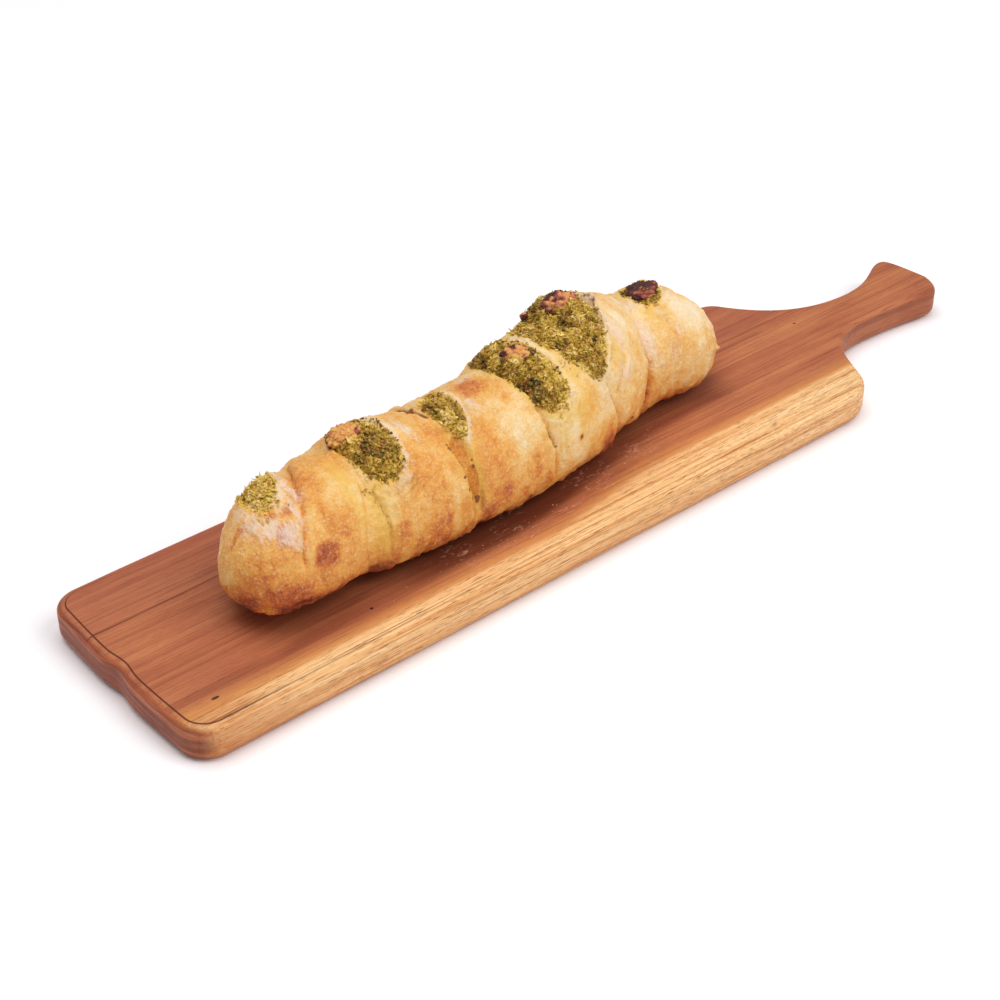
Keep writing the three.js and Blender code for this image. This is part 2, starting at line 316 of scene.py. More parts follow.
# The lower edge: places along the loaf, how far the flank draws in above the board, and how deep the
# dark gap under it is.
LOWER_EDGE = [
    (53, 0.0, 2), (66, 0.8, 4), (77, 3.0, 8), (91, 2.6, 10), (102, 2.8, 10), (116, 3.2, 11),
    (121, 0.8, 6), (134, 0.0, 4), (172, 0.0, 4), (177, 0.8, 5), (183, 0.0, 4), (272, 0.0, 4),
    (279, 1.8, 7), (290, 1.8, 7), (297, 0.0, 4), (374, 0.0, 2),
]
GAP_ANGLE = -44
# A nub of dough at the far end: place, angle and reaches, and how far it stands out.
NUB, NUB_RISE = (365, 4, 1.7, 1.7), 2.4
CRUST_ROWS, CRUST_COLUMNS = 430, 222  # points along the loaf and round it


def line_place(line, angle):
    """Where a line is along the loaf at each angle, with its corners eased."""
    angles, places = zip(*line)
    return sum(np.interp(angle + ease, angles, places) for ease in (-7, 0, 7)) / 3


def opening_radius(opening, x, angle, points):
    """0 at an opening's middle, 1 on its ragged edge and more outside."""
    t = (angle - opening.angle) / opening.span
    width = opening.reach * (1 + opening.taper * np.clip(t, -1.3, 1.3))
    s = (x - opening.x - opening.lean * (angle - opening.angle)) / width
    power = opening.power
    radius = (np.abs(s) ** power + np.abs(t) ** power) ** (1 / power)
    size = (opening.reach + opening.span * AROUND) / 2
    for at, middle, reach, around, _ in TONGUES:
        radius = radius + 0.5 * patch(x, angle, at, middle, reach, around)
    return radius + (1.5 * noise(points, 6.5, 5) + 0.9 * noise(points, 2.2, 6)) / size, s, t, size


def patch(x, angle, at, middle, reach, around):
    return np.exp(-((x - at) / reach) ** 2 - ((angle - middle) * AROUND / around) ** 2)


def patches(x, angle, places):
    """How strongly a list of patches marks each point of the crust."""
    marked = np.zeros_like(x)
    for at, middle, reach, around, strength in places:
        marked = np.maximum(marked, strength * patch(x, angle, at, middle, reach, around))
    return marked


def fold_relief(x, angle, points):
    """The folds: how far they raise the crust and push it along, their valleys, and the painted shade
    along their creases.
    """
    height, push = np.zeros_like(x), np.zeros_like(x)
    valley, browning_and_crease_shade = np.zeros_like(x), np.zeros_like(x)
    for n, fold in enumerate(FOLDS):
        d = x - line_place(fold.line, angle) - 0.5 * noise(points, 7, 40 + n)
        reach = smoothstep(fold.low - 12, fold.low + 10, angle)
        reach = reach * (1 - smoothstep(fold.high - 10, fold.high + 12, angle))
        shape = np.where(d < 0, np.exp(d / fold.left), np.exp(-d / fold.right)) * reach
        broken = smoothstep(-0.8, 0.2, noise(points, 8, 50 + n))
        valley = np.maximum(valley, shape)
        # A thin dark line at each fold's deepest place: painted shade in the crease.
        browning_and_crease_shade = np.maximum(browning_and_crease_shade, bell(d, 0.9) * reach * broken)
        steep = 1.0 if fold.left > fold.right else -1.0
        edge = d * steep
        height = height - fold.depth * shape + 0.35 * fold.depth * bell(edge - 2.6, 2.4) * reach
        push = push - steep * 0.3 * fold.depth * bell(edge - 1.0, 1.6) * reach
    return height, push, valley, browning_and_crease_shade


def crack_relief(x, angle, points):
    """The cracks: how deep they are, and how scorched."""
    height, scorch = np.zeros_like(x), np.zeros_like(x)
    for n, (line, depth, width, burnt) in enumerate(CRACKS):
        first, last = line[0][0], line[-1][0]
        d = x - line_place(line, angle) - 0.7 * noise(points, 4, 60 + n)
        ends = smoothstep(first - 3, first + 3, angle) * (1 - smoothstep(last - 3, last + 3, angle))
        shape = bell(d, width) * ends * smoothstep(-0.9, -0.2, noise(points, 5, 70 + n))
        height = height - depth * shape
        if burnt > 0:
            patchy = np.clip(burnt + 0.6 * noise(points, 3, 90 + n), 0, 1)
            scorch = np.maximum(scorch, shape * patchy)
    return height, scorch


def opening_relief(x, angle, points, height, browning_and_crease_shade, scorch):
    """The basins of the openings and the lips round them, worked into the crust so far."""
    inside, rim, floury, oily = (np.zeros_like(x) for _ in range(4))
    for opening in OPENINGS:
        radius, s, t, size = opening_radius(opening, x, angle, points)
        outside = (radius - 1.0) * size
        hollow = 1 - smoothstep(0.86, 1.02, radius)
        right = 0.35 + 0.65 * smoothstep(-0.5, 0.7, s)
        lip = bell((radius - 1.12) * size, 2.5) * right
        height = height * (1 - 0.6 * hollow) - BASIN * hollow + opening.lip * lip
        ring = smoothstep(0.0, 1.5, (radius - 0.95) * size) * bell(outside, 6.0) * right
        inside = np.maximum(inside, hollow)
        rim = np.maximum(rim, ring)
        floury = np.maximum(floury, opening.floury * ring)
        oily = np.maximum(oily, 1 - smoothstep(0.0, 6.0 - 3.4 * opening.floury, outside))
        burnt = opening.burnt * smoothstep(0.1, 0.4, s) * bell(t + 0.1, 0.4)
        height = height + 3.2 * burnt * bell(outside - 2.4, 1.8)
        scorch = np.maximum(scorch, burnt * bell(outside - 1.8, 1.0))
        broken = smoothstep(-0.1, 0.7, noise(points, 5, 34))
        browning_and_crease_shade = np.maximum(browning_and_crease_shade, 1.3 * bell(outside - 0.9, 0.8) * broken)
        ripple = np.sin(1.9 * outside + 3.0 * noise(points, 14, 32))
        ripple = ripple * smoothstep(-0.3, 0.3, noise(points, 9, 33)) * right
        height = height + 0.75 * ripple * smoothstep(0.5, 3.0, outside) * (1 - smoothstep(7, 15, outside))
    return height, browning_and_crease_shade, scorch, inside, rim, floury, oily


def crust_relief(x, angle, points):
    """How far the crust stands out from the smooth body, how far it is pushed along the loaf, and the
    masks that colour it."""
    full = fullness_at(x)
    fade = smoothstep(0.15, 0.6, full)
    shoulder = smoothstep(-50, -15, angle) * (1 - smoothstep(185, 215, angle))
    height = 1.0 * fractal(points, 26, 11) + 0.5 * fractal(points, 9, 12, 2)
    height = height + 0.24 * fractal(points, 3.2, 13, 2) * shoulder
    folds, push, valley, browning_and_crease_shade = fold_relief(x, angle, points)
    cracks, scorch = crack_relief(x, angle, points)
    height = height + folds + cracks
    for at, middle, reach, around, rise in TONGUES:
        height = height + rise * patch(x, angle, at, middle, reach, around)
    height, browning_and_crease_shade, scorch, inside, rim, floury, oily = opening_relief(
        x, angle, points, height, browning_and_crease_shade, scorch
    )
    # The loaf's ragged lower edge, with a dark gap under it.
    edge_x, insets, depths = zip(*LOWER_EDGE)
    edge = GAP_ANGLE + 4.0 * noise(points, 5, 21) + 2.0 * noise(points, 1.9, 22)
    under = smoothstep(edge, edge - 8, angle)
    height = height - np.interp(x, edge_x, insets) * smoothstep(-4, -32, angle)
    height = height - (np.interp(x, edge_x, depths) - 2.5) * under * smoothstep(-89, -70, angle)
    height = height - 2.5 * under - 2.5 * smoothstep(222, 230, angle)
    height = height + 0.6 * bell(angle - edge - 5, 6)
    height = height + 1.0 * bell(angle - edge, 16) * fractal(points, 5, 31, 2)
    # Blisters all over, and wrinkles drawn out along the loaf where it is floury or stained.
    spots = noise(points, 2.1, 23)
    blisters = 0.4 * smoothstep(0.2, 0.75, spots) - 0.2 * smoothstep(0.3, 0.8, -spots)
    flour = patches(x, angle, FLOURS)
    stain = np.maximum(0.85 * oily, patches(x, angle, STAINS))
    drawn_out = points * np.array([1.0, 0.28, 0.28])
    wrinkle = 0.8 * noise(drawn_out, 1.6, 24) - 1.3 * np.abs(noise(drawn_out, 3.4, 35)) + 0.3
    wrinkled = np.maximum(np.maximum(flour, 0.7 * rim), 0.6 * stain)
    height = height + blisters * (1 - inside) + NUB_RISE * patch(x, angle, *NUB)
    height = height + 0.7 * wrinkled * wrinkle
    # How well it is baked, with painted shade in the folds' creases.
    bake_and_crease_shade = 0.4 + 0.2 * fractal(points, 30, 25, 2)
    bake_and_crease_shade = bake_and_crease_shade + 0.17 * fractal(points * np.array([1.0, 0.45, 0.45]), 6, 26)
    bake_and_crease_shade = bake_and_crease_shade - 0.11 * smoothstep(195, 250, x) - 0.16 * valley * smoothstep(10, 40, angle) - 0.2 * rim
    bake_and_crease_shade = bake_and_crease_shade + 0.24 * smoothstep(16, -28, angle) * (0.9 + 1.3 * fractal(points, 7, 27, 2))
    bake_and_crease_shade = bake_and_crease_shade + 0.2 * bell(angle - edge, 14) + 0.1 * patch(x, angle, 148, 30, 16, 20)
    bake_and_crease_shade = bake_and_crease_shade + 0.34 * smoothstep(178, 215, angle) + 0.34 * browning_and_crease_shade
    uneven = 0.9 * noise(points, 4, 28)
    for at, middle, radius, strength, soft in SPOTS:
        away = np.hypot(x - at, (angle - middle) * AROUND) + uneven
        inner, outer = (1 - 0.75 * soft) * radius, (1.1 + 0.5 * soft) * radius
        bake_and_crease_shade = bake_and_crease_shade + strength * (1 - smoothstep(inner, outer, away))
    uneven = 0.5 * noise(points, 1.6, 29)
    for at, middle, radius, strength in SCORCHES:
        away = np.hypot(x - at, (angle - middle) * AROUND) + uneven
        scorch = np.maximum(scorch, strength * (1 - smoothstep(0.5 * radius, 1.2 * radius, away)))
    masks = dict(
        bake_and_crease_shade=np.clip(bake_and_crease_shade, 0, 1.2),
        flour=np.clip(np.maximum(flour, floury) * (1 - inside), 0, 1),
        stain=np.clip(stain, 0, 1.2),
        scorch=np.clip(scorch, 0, 1),
    )
    return height * fade, push * fade, masks


def loaf_stations(count):
    """Places along the loaf whose outline is evenly spaced, round its ends too."""
    t = np.linspace(0, 1, 6001)
    x = LOAF_START + (LOAF_END - LOAF_START) * (1 - np.cos(np.pi * t)) / 2
    out = 30 * fullness_at(x)
    run = np.concatenate([[0], np.cumsum(np.hypot(np.diff(x), np.diff(out)))])
    return np.interp(np.linspace(0, run[-1], count), run, x), np.linspace(0, 1, count)


def new_mesh(name, vertices, faces, uvs=None, smooth=True):
    """A mesh object from row-frame points in metres and faces of any size."""
    mesh = bpy.data.meshes.new(name)
    mesh.from_pydata(vertices.tolist(), [], faces)
    mesh.update()
    if uvs is not None:
        layer = mesh.uv_layers.new(name="UVMap")
        layer.data.foreach_set("uv", np.asarray(uvs, np.float32).ravel())
    mesh.polygons.foreach_set("use_smooth", np.full(len(mesh.polygons), smooth))
    obj = bpy.data.objects.new(name, mesh)
    bpy.context.scene.collection.objects.link(obj)
    return obj


def set_mask(obj, name, values):
    layer = obj.data.attributes.new(name, "FLOAT", "POINT")
    layer.data.foreach_set("value", np.asarray(values, np.float32).ravel())


def ring_faces(rows, columns, outward=False):
    """The four-cornered faces between rings of points, each ring closed on itself."""
    index = np.arange(rows * columns).reshape(rows, columns)
    beside = np.roll(index, -1, axis=1)
    corners = [index[:-1], beside[:-1], beside[1:], index[1:]]
    if outward:
        corners[1], corners[3] = corners[3], corners[1]
    return index, np.stack(corners, axis=-1).reshape(-1, 4).tolist()


def face_uvs(*corners):
    """Texture places for faces, from a pair of arrays for each of their corners."""
    pairs = [np.stack(np.broadcast_arrays(*corner), -1) for corner in corners]
    return np.stack(pairs, axis=-2).reshape(-1, 2)


def build_crust():
    stations, shares = loaf_stations(CRUST_ROWS)
    x, angle = np.meshgrid(
        stations[1:-1], -90 + 360 * np.arange(CRUST_COLUMNS) / CRUST_COLUMNS, indexing="ij"
    )
    points, out = loaf_surface(x, angle)
    height, push, masks = crust_relief(x, angle, points)
    final = points + out * height[..., None]
    final[..., 0] += push
    final[..., 2] = np.maximum(final[..., 2], FLOOR - 0.15)
    tips = loaf_point(np.array([LOAF_START, LOAF_END]), np.array([0.0, 0.0]))
    vertices = to_row(np.concatenate([final.reshape(-1, 3), tips]))
    rows, columns = x.shape
    index, faces = ring_faces(rows, columns, outward=True)
    first, last = rows * columns, rows * columns + 1
    beside = np.roll(index, -1, axis=1)
    faces += [[first, int(a), int(b)] for a, b in zip(index[0], beside[0])]
    faces += [[last, int(b), int(a)] for a, b in zip(index[-1], beside[-1])]
    turn = np.arange(columns + 1) / columns
    left, right, middle = turn[:-1], turn[1:], (turn[:-1] + turn[1:]) / 2
    low, high = shares[1:-2, None], shares[2:-1, None]
    uvs = np.concatenate([
        face_uvs((left, low), (left, high), (right, high), (right, low)),
        face_uvs((middle, 0.0), (left, shares[1]), (right, shares[1])),
        face_uvs((middle, 1.0), (right, shares[-2]), (left, shares[-2])),
    ])
    obj = new_mesh("loaf_crust", vertices, faces, uvs)
    for name, values in masks.items():
        set_mask(obj, name, np.concatenate([values.ravel(), values[0, :1], values[-1, :1]]))
    return obj


# ---- The filling --------------------------------------------------------------------------------

# Lumps of dough and cheese in the filling: place, angle, half sizes along, round and up, how far they
# stand out of the body, and how scorched they are.
LUMPS = [
    (130.2, 98, 8.6, 7.6, 4.6, 0.8, 0.36),
    (230, 87, 7.0, 6.5, 4.8, 2.2, 1.05),
    (275, 99, 9.5, 8.5, 6.6, 2.4, 1.5),
    (335, 89, 9.0, 8.0, 4.2, -0.5, 2.9),
    (259, 113, 1.9, 2.3, 1.9, 4.6, 1.5),
]
# Clefts that part the filling: a line as for a fold, and its depth.
CLEFTS = [
    (((80, 263), (95, 260), (125, 256)), 3.2),
]


# Places where chopped herbs have spilled on the crust: place, angle, reach along, reach round, how many.
SPILLS = [
    (122, 47, 4, 4, 14),
    (233, 34, 3, 3, 14),
    (252, 62, 5, 6, 20),
    (77, 84, 7, 6, 40),
    (330, 70, 4, 3, 10),
]


def opening_point(opening, s, t):
    angle = opening.angle + t * opening.span
    width = opening.reach * (1 + opening.taper * t)
    return opening.x + opening.lean * (angle - opening.angle) + s * width, angle


def on_opening(opening, radius, turn):
    """Shares along and round an opening, for a share of the way out to its edge and a turn."""
    power = 2 / opening.power
    s = radius * np.sign(np.cos(turn)) * np.abs(np.cos(turn)) ** power
    t = radius * np.sign(np.sin(turn)) * np.abs(np.sin(turn)) ** power
    return s, t


def filling_form(opening, radius, x, angle, points):
    """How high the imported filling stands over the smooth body, how light it is, and how scorched."""
    big, big_kind = clumps(points, 7.0, 200)
    small, small_kind = clumps(points, 2.6, 300)
    dome = (1 - np.clip(radius, 0, 1) ** 2.8) ** 0.7
    inner = np.clip(1.2 - radius, 0, 1) ** 0.4
    rough = 2.8 * (big - 0.6) + 1.1 * (small - 0.6) + 1.3 * fractal(points, 11, 80, 2)
    height = -BASIN + 0.6 + (opening.crown + BASIN - 0.6) * dome + rough * inner
    for line, depth in CLEFTS:
        gap = bell(x - line_place(line, angle), 2.0)
        gap = gap * smoothstep(line[0][0] - 6, line[0][0] + 4, angle)
        height = height - depth * gap
        big = big * (1 - 0.6 * gap)
    patchy = 0.54 - 1.2 * opening.light
    # Lighter on the clumps' tops and darker in the gaps between them and in the clefts: painted light and
    # shade, over a tone that differs from clump to clump.
    tone = 0.1 + 0.36 * big + 0.22 * small + patchy * (big_kind - 0.5) + 0.24 * (small_kind - 0.5)
    tone = tone + 0.1 * smoothstep(0.7, 1.0, radius) + opening.light
    burnt = smoothstep(0.2, 0.9, big_kind) * smoothstep(95, 125, angle) * smoothstep(2.5, 5.5, height)
    return height, tone, np.clip(0.8 * burnt, 0, 1)


class Gathered:
    """Many small meshes gathered into one, with a mask or two at each point."""

    def __init__(self):
        self.points, self.faces, self.uvs, self.masks, self.total = [], [], [], {}, 0

    def add(self, points, faces, uvs=None, **masks):
        self.points.append(to_row(points))
        self.faces += [[corner + self.total for corner in face] for face in faces]
        if uvs is not None:
            self.uvs.append(uvs)
        for name, values in masks.items():
            self.masks.setdefault(name, []).append(values)
        self.total += len(points)

    def build(self, name, smooth):
        uvs = np.concatenate(self.uvs) if self.uvs else None
        obj = new_mesh(name, np.concatenate(self.points), self.faces, uvs, smooth)
        for mask, values in self.masks.items():
            set_mask(obj, mask, np.clip(np.concatenate(values), 0, 1))
        return obj


MASS_RINGS, MASS_SECTORS = 36, 132
CRUMBS_IN_ALL = 5600
# Shares of each kind of chopped herb in the six openings, and among what has spilled.
KIND_SHARES = dict(
    crumb=[1.0] * 6, chip=[0.35, 0.5, 0.6, 0.7, 0.7, 0.4], strand=[0.03, 0.03, 0.1, 0.16, 0.14, 0.03]
)
SPILLED_SHARES = dict(crumb=0.7, chip=0.3, strand=0.12)
GRAIN_SIZES = dict(crumb=[0.75, 0.62, 0.5], chip=[1.5, 0.7, 0.22])
UV_CELLS = 110  # the grains' texture places are cells in rows this long
OCTAHEDRON = np.array([(1, 0, 0), (0, 1, 0), (-1, 0, 0), (0, -1, 0), (0, 0, 1), (0, 0, -1)], float)
OCTAHEDRON_FACES = np.array(
    [(0, 1, 4), (1, 2, 4), (2, 3, 4), (3, 0, 4), (1, 0, 5), (2, 1, 5), (3, 2, 5), (0, 3, 5)]
)
STRAND_THICKNESS = [0.14, 0.32, 0.3, 0.12]
STRAND_FACES = np.array(
    [
        (a, b, c)
        for base in range(0, 9, 3)
        for k in range(3)
        for p, q in [(base + k, base + (k + 1) % 3)]
        for a, b, c in [(p, q, q + 3), (p, q + 3, p + 3)]
    ]
    + [(0, 2, 1), (9, 10, 11)]
)


def add_packed_mass(heap, n, opening):
    """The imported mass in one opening, closed underneath by one deep ring."""
    rings, sectors = MASS_RINGS, MASS_SECTORS
    radius = np.broadcast_to(np.linspace(0.03, 1.1, rings)[:, None], (rings, sectors))
    s, t = on_opening(opening, radius, (2 * np.pi * np.arange(sectors) / sectors)[None])
    x, angle = opening_point(opening, s, t)
    points, out = loaf_surface(x, angle)
    height, tone, char = filling_form(opening, radius, x, angle, points)
    deep = points - out * (BASIN + 2.4)
    grid = np.concatenate([points + out * height[..., None], deep[-1:]])
    index, faces = ring_faces(rings + 1, sectors, outward=True)
    faces += [index[0].tolist(), index[-1][::-1].tolist()]
    uv = np.stack([np.clip((s + 1.2) / 2.4, 0, 1), np.clip((t + 1.2) / 2.4, 0, 1)], -1)
    uv = np.concatenate([uv, uv[-1:] + 0.02]).reshape(-1, 2) * 0.13 + [0.02 + 0.16 * n, 0.02]
    heap.add(
        grid.reshape(-1, 3),
        faces,
        np.concatenate([uv[np.asarray(face)] for face in faces]),
        tone=np.concatenate([tone, tone[-1:]]).ravel(),
        char=np.concatenate([char, char[-1:]]).ravel(),
    )


def rough_grains(kind, many, size):
    """Uneven eight-sided grains: compact crumbs or flat chips of leaf."""
    sizes = np.exp(rng.normal(0, 0.28, many))[:, None] * np.array(GRAIN_SIZES[kind]) * size
    return OCTAHEDRON[None] * (1 + rng.uniform(-0.3, 0.3, (many, 6, 1))) * sizes[:, None]


def bent_strands(many):
    """Thin bent strands with three sides, thickest in the middle."""
    length = rng.uniform(1.0, 2.4, many)
    bend = rng.normal(0, 0.5, many)
    shape = np.zeros((many, 3 * len(STRAND_THICKNESS), 3))
    for ring, (along, thick) in enumerate(zip(np.linspace(-1, 1, 4), STRAND_THICKNESS)):
        for k in range(3):
            corner = 2 * math.pi * k / 3
            column = ring * 3 + k
            shape[:, column, 0] = length * along
            shape[:, column, 1] = bend * along**2 * length + thick * math.cos(corner)
            shape[:, column, 2] = 0.35 * (1 - along**2) + thick * math.sin(corner)
    return shape


def build_filling():
    heap = Gathered()
    for n, opening in enumerate(OPENINGS):
        add_packed_mass(heap, n, opening)
    areas = np.array([opening.reach * opening.span for opening in OPENINGS])
    crumbs_each = (CRUMBS_IN_ALL * areas / areas.sum()).astype(int)
    laid = 0
    for n, place in enumerate(OPENINGS + SPILLS):
        packed = n < len(OPENINGS)
        for kind, shares in KIND_SHARES.items():
            if packed:
                many = int(crumbs_each[n] * shares[n])
                radius = np.sqrt(rng.uniform(0, 1.0, many)) * (1.06 if kind == "crumb" else 1.0)
                s, t = on_opening(place, radius, rng.uniform(0, 2 * np.pi, many))
                x, angle = opening_point(place, s, t)
            else:
                at, middle, reach, around, spilled = place
                many = int(spilled * SPILLED_SHARES[kind])
                x = at + reach * rng.normal(0, 0.6, many)
                angle = middle + around / AROUND * rng.normal(0, 0.6, many)
            points, out = loaf_surface(x, angle)
            if packed:
                height, tone, char = filling_form(place, radius, x, angle, points)
            else:
                height, tone, char = np.full(many, -9.0), np.full(many, 0.55), np.zeros(many)
            crust_height = crust_relief(x, angle, points)[0]
            lift = np.maximum(height, crust_height) + rng.uniform(-0.1, 0.5, many)
            centre = points + out * lift[:, None]
            # A frame for each grain: roughly flat on the mound, turned at random.
            spin = rng.normal(size=(many, 3))
            normal = unit(out + (0.4 if kind == "strand" else 0.8) * rng.normal(size=(many, 3)))
            side = unit(np.cross(normal, spin))
            other = np.cross(normal, side)
            tone = tone + rng.normal(0.1, 0.12, many)
            char = np.clip(char + rng.normal(0, 0.12, many), 0, 1)
            if kind == "strand":
                shape, body = bent_strands(many), STRAND_FACES
                tone = tone + 0.12
            else:
                shape, body = rough_grains(kind, many, 1.0 if packed else 0.75), OCTAHEDRON_FACES
            grains = centre[:, None] + shape[..., :1] * side[:, None]
            grains = grains + shape[..., 1:2] * other[:, None] + shape[..., 2:] * normal[:, None]
            corners = shape.shape[1]
            faces = (body[None] + corners * np.arange(many)[:, None, None]).reshape(-1, 3).tolist()
            # Each grain has a cell of its own on the texture.
            number = laid + np.arange(many)
            cell = np.stack([number % UV_CELLS, number // UV_CELLS], -1) / UV_CELLS
            cell[:, 1] = 0.18 + 0.82 * cell[:, 1]
            local = np.stack([np.linspace(0, 1, corners), (np.arange(corners) * 0.37) % 1], -1)
            local = local[body].reshape(-1, 2) * np.array([0.6, 0.5]) / UV_CELLS + 0.2 / UV_CELLS
            heap.add(
                grains.reshape(-1, 3),
                faces,
                (cell[:, None] + local[None]).reshape(-1, 2),
                tone=np.repeat(tone, corners),
                char=np.repeat(char, corners),
            )
            laid += many
    return heap.build("herb_filling", smooth=False)


def build_lumps():
    """Browned lumps of dough and cheese that stand up out of the filling."""
    heap = Gathered()
    rows, columns = 44, 64
    latitude = np.pi * (np.arange(1, rows) / rows) - np.pi / 2
    longitude = 2 * np.pi * np.arange(columns) / columns
    la, lo = np.meshgrid(latitude, longitude, indexing="ij")
    ball = np.stack([np.cos(la) * np.cos(lo), np.cos(la) * np.sin(lo), np.sin(la)], -1)
    ball = np.concatenate([ball.reshape(-1, 3), [(0, 0, -1.0), (0, 0, 1.0)]])
    index, faces = ring_faces(rows - 1, columns)
    south, north = len(ball) - 2, len(ball) - 1
    beside = np.roll(index, -1, axis=1)
    faces += [[south, int(b), int(a)] for a, b in zip(index[0], beside[0])]
    faces += [[north, int(a), int(b)] for a, b in zip(index[-1], beside[-1])]
    for n, (at, middle, along, around, up, lift, scorched) in enumerate(LUMPS):
        surface = loaf_surface(np.array([float(at)]), np.array([float(middle)]))
        centre, out = (part[0] for part in surface)
        forward = unit(np.array([1.0, 0.0, 0.0]) - out * out[0])
        side = np.cross(out, forward)
        place = ball * np.array([along, around, up], float)
        knobs, kind = clumps(place, 3.4, 120 + 10 * n)
        fine = clumps(place, 1.6, 125 + 10 * n)[0]
        rough = 1 + 0.24 * fractal(place, 6, 121 + n, 2) + 0.22 * (knobs - 0.6) + 0.16 * (fine - 0.6)
        local = place * rough[:, None]
        lump = centre + out * lift + local[:, :1] * forward + local[:, 1:2] * side + local[:, 2:] * out
        top = 0.6 * ball[:, 2] + 0.55 * ball[:, 1] + 0.5 * noise(place, 2.6, 160 + n)
        foot = smoothstep(0.66, 0.4, ball[:, 2]) * smoothstep(-0.2, 0.3, noise(place, 4, 170 + n))
        char = scorched * (0.2 + 0.8 * smoothstep(0.2, 1.0, top)) + 0.6 * foot
        # The gaps between the knobs are darker: painted shade.
        heap.add(lump, faces, char=char + 0.25 * (0.7 - knobs) + 0.2 * (kind - 0.5))
    return heap.build("browned_lumps", smooth=True)


# ---- The board ----------------------------------------------------------------------------------

BOARD_WIDTH, BOARD_LENGTH, BODY_LENGTH = 125.0, 556.0, 439.0
TOP_ROUND, BOTTOM_ROUND = 3.5, 5.5
SQUARE_END = dict(corner=15, dip=1.7, dip_reach=8, bow=2.3, skew=0.034)
HANDLE_TIP_ROUND, HANDLE_TIP_SKEW, HANDLE_TIP_CROWN = 11.0, 3.7, 1.3
HANDLE_EASE = dict(waist=0.47, tip=0.15, corner=0.65)
NEAR_SIDE = dict(shoulder=28, turn=1.06, waist_x=487, waist=10, tip=14.5, leave=0.43, arrive=0.66)
FAR_SIDE = dict(shoulder=14, turn=1.04, waist_x=502, waist=18, tip=31.5, leave=0.29, arrive=0.6)
LEDGE = 0.35  # the small step that the flat top is cut with, near the square end
LEDGE_STEPS = [(0.2, 1.0), (0.35, 1.0), (0.6, 0.5), (0.85, 0.0), (1.1, 0.0)]


def bezier(points, count):
    t = np.linspace(0, 1, count + 1)[1:, None]
    p = [np.array(q, float) for q in points]
    return p[0] * (1 - t) ** 3 + 3 * p[1] * t * (1 - t) ** 2 + 3 * p[2] * t**2 * (1 - t) + p[3] * t**3


def board_side(side, dims):
    """One side of the plan from the middle of the square end to the middle of the handle's tip."""
    half = BOARD_WIDTH / 2
    end = SQUARE_END
    straight = half - end["corner"]

    def inset(y):
        dip = end["dip"] * bell(y, end["dip_reach"])
        return dip + end["bow"] * (y / half) ** 2 + side * end["skew"] * y

    y = np.linspace(0, straight, 40, endpoint=False)
    square = np.stack([inset(y), side * y], -1)
    turn = np.linspace(0, np.pi / 2, 15)
    corner_x = inset(straight) + end["corner"] * (1 - np.cos(turn))
    corner = np.stack([corner_x, side * (straight + end["corner"] * np.sin(turn))], -1)
    shoulder = dims["shoulder"]
    centre = np.array([BODY_LENGTH - shoulder, side * (half - shoulder)])
    turn = np.linspace(0, dims["turn"], 18)
    arc = centre + shoulder * np.stack([np.sin(turn), side * np.cos(turn)], -1)
    edge_x = np.linspace(corner[-1, 0], arc[0, 0], 60)[1:-1]
    edge = np.stack([edge_x, np.full_like(edge_x, side * half)], -1)
    start = arc[-1]
    span = dims["waist_x"] - start[0]
    waist = np.array([dims["waist_x"], side * dims["waist"]])
    heading = np.array([math.cos(dims["turn"]), -side * math.sin(dims["turn"])])
    leave, arrive = start + heading * span * dims["leave"], waist - [span * dims["arrive"], 0]
    neck = bezier([start, leave, arrive, waist], 26)
    rest = BOARD_LENGTH - dims["waist_x"]
    tip_x = BOARD_LENGTH + side * HANDLE_TIP_SKEW - HANDLE_TIP_ROUND
    tip = np.array([tip_x, side * dims["tip"]])
    leave, arrive = waist + [rest * HANDLE_EASE["waist"], 0], tip - [rest * HANDLE_EASE["tip"], 0]
    flare = bezier([waist, leave, arrive, tip], 24)
    leave = tip + [HANDLE_TIP_ROUND * HANDLE_EASE["corner"], 0]
    crown_x = BOARD_LENGTH + side * HANDLE_TIP_SKEW / 2 - HANDLE_TIP_CROWN
    arrive = [crown_x, side * (dims["tip"] - HANDLE_TIP_ROUND / 2)]
    last = bezier([tip, leave, arrive, [BOARD_LENGTH, 0]], 18)
    return np.concatenate([square, corner, edge, arc, neck, flare, last])


def board_profile():
    """The rings round the board from its underside up: inset, height, and share of the ledge."""
    quarter = np.linspace(0, np.pi / 2, 9)
    rings = [(BOTTOM_ROUND * (1 - math.sin(t)), BOTTOM_ROUND * (1 - math.cos(t)), 0.0) for t in quarter]
    rings.append((0.0, BOARD_THICKNESS / 2, 0.0))
    for turn in quarter:
        height = BOARD_THICKNESS - TOP_ROUND * (1 - math.sin(turn))
        rings.append((TOP_ROUND * (1 - math.cos(turn)), height, 1.0))
    return rings + [(TOP_ROUND + more, BOARD_THICKNESS, share) for more, share in LEDGE_STEPS]


